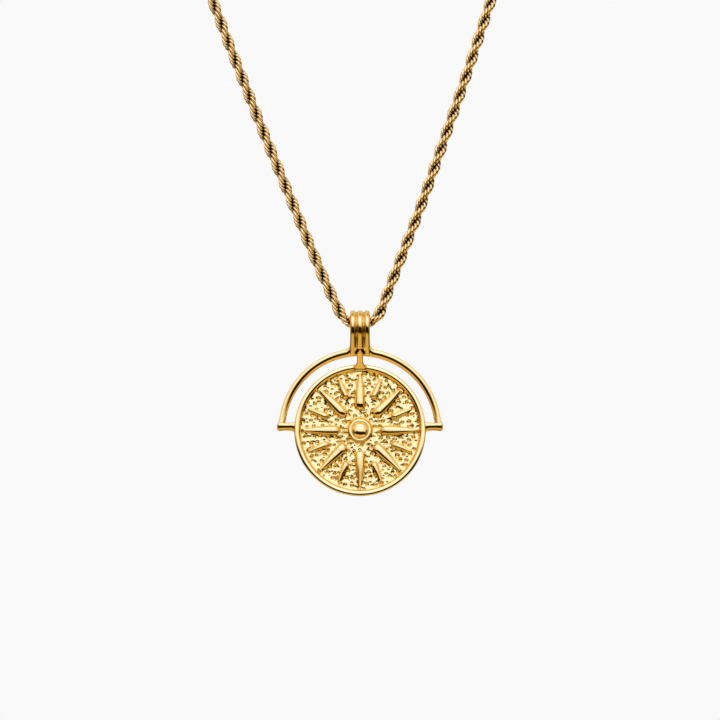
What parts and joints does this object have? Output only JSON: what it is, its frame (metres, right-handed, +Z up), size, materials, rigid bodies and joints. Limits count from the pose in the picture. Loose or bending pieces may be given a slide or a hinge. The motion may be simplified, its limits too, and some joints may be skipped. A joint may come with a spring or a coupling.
{
  "type": "compass pendant on a rope chain necklace",
  "caption": "Round medallion pendant with a raised compass rose, held in a half-ring arch under a ribbed bail, hanging on a closed rope chain loop.",
  "frame": {"origin": "at the nape, where the clasp and end caps rest on the back of the wearer's neck", "axes": "+Z up as worn; -Y is the way the medallion's compass rose faces, away from the wearer; +X is to the right of a person who looks at the front"},
  "size_m": [0.122, 0.1252, 0.207],
  "materials": {
    "pendant_gold": "polished gold plating over cast metal, with a nugget-textured field",
    "chain_gold": "polished gold plating over drawn wire"
  },
  "bodies": {
    "necklace": {"rope_chain": "chain_gold", "cap_left": "chain_gold", "cap_right": "chain_gold", "clasp": "chain_gold"},
    "pendant": {"pendant": "pendant_gold"}
  },
  "joints": [
    {"name": "pendant_swing", "type": "hinge", "parent": "necklace", "child": "pendant", "pos_m": [0, -0.12, -0.174], "axis": [1, 0, 0], "range_deg": [-80, 80]}
  ]
}
